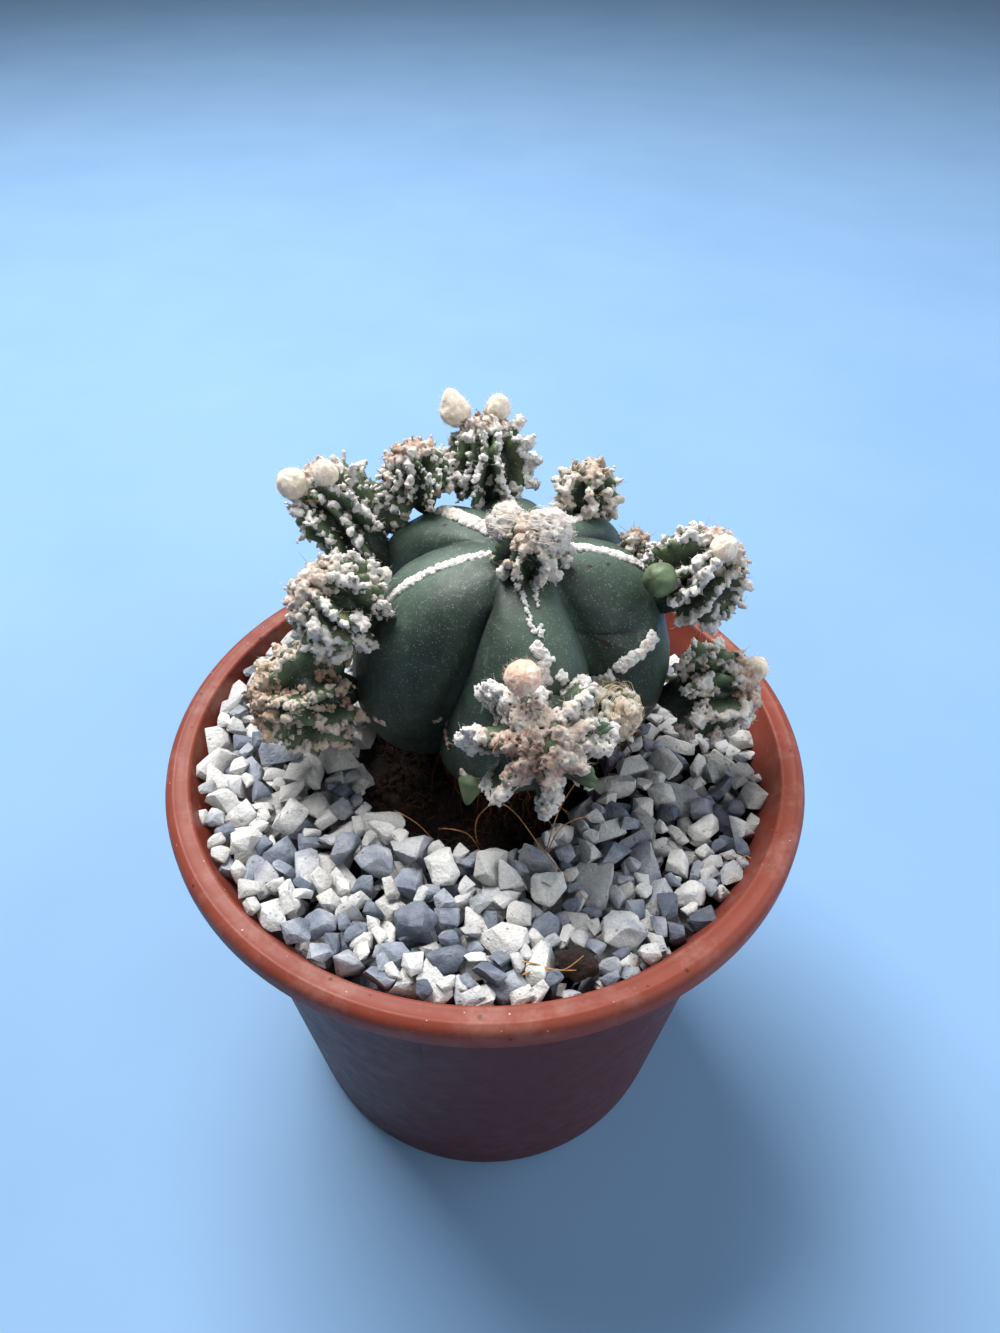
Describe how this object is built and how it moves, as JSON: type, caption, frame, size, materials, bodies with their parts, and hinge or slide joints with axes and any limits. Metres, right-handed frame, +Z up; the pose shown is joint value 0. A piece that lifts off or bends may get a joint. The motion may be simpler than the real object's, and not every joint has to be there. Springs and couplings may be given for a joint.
{
  "type": "potted monstrose bishop's cap cactus",
  "caption": "Round nursery pot of limestone chips with a ribbed, spineless dark green cactus whose rib crests carry woolly warty offsets and fuzzy flower buds.",
  "frame": {"origin": "centre of the pot's base, on the surface it stands on", "axes": "+Z up along the pot's axis; -Y is the side with the largest offset, the pictured front"},
  "size_m": [0.085, 0.085, 0.1042],
  "materials": {
    "pot_plastic": "satin terracotta polypropylene with a fine moulded grain, dust and small scuffs",
    "potting_mix": "dark brown peat with red-brown fibres",
    "root_bark": "corky brown bark with fibres",
    "limestone": "matt angular chips, cream to blue-grey",
    "cactus_skin": "satin waxy skin with fine pale flecks",
    "areole_wool": "dense crumbly wool, white to tan, over green warts",
    "young_skin": "smooth bright green young skin",
    "bud_wool": "short cream to peach fuzz"
  },
  "bodies": {
    "root": {"pot": "pot_plastic", "potting_mix": "potting_mix", "root_crown": "root_bark", "gravel_layer": "limestone", "stone_01": "limestone", "stone_02": "limestone", "stone_03": "limestone", "stone_04": "limestone", "stone_05": "limestone", "stone_06": "limestone", "stone_07": "limestone", "stone_08": "limestone", "stone_09": "limestone", "stone_10": "limestone", "stone_11": "limestone", "stone_12": "limestone", "stone_13": "limestone", "stone_14": "limestone", "peat_lump": "potting_mix", "stem": "cactus_skin", "crown_head": "areole_wool", "offset_front": "areole_wool", "offset_front_right": "areole_wool", "offset_left_upper": "areole_wool", "offset_left_lower": "areole_wool", "offset_back_left_outer": "areole_wool", "offset_back_left_middle": "areole_wool", "offset_back_left_inner": "areole_wool", "offset_back_right": "areole_wool", "offset_right_back": "areole_wool", "offset_right_upper": "areole_wool", "offset_right_lower": "areole_wool", "offset_right_young": "young_skin", "offset_front_young": "young_skin", "bud_front": "bud_wool", "bud_back_left_outer_a": "bud_wool", "bud_back_left_outer_b": "bud_wool", "bud_back_left_inner_a": "bud_wool", "bud_back_left_inner_b": "bud_wool", "bud_right_upper": "bud_wool", "bud_right_lower": "bud_wool"}
  },
  "joints": []
}
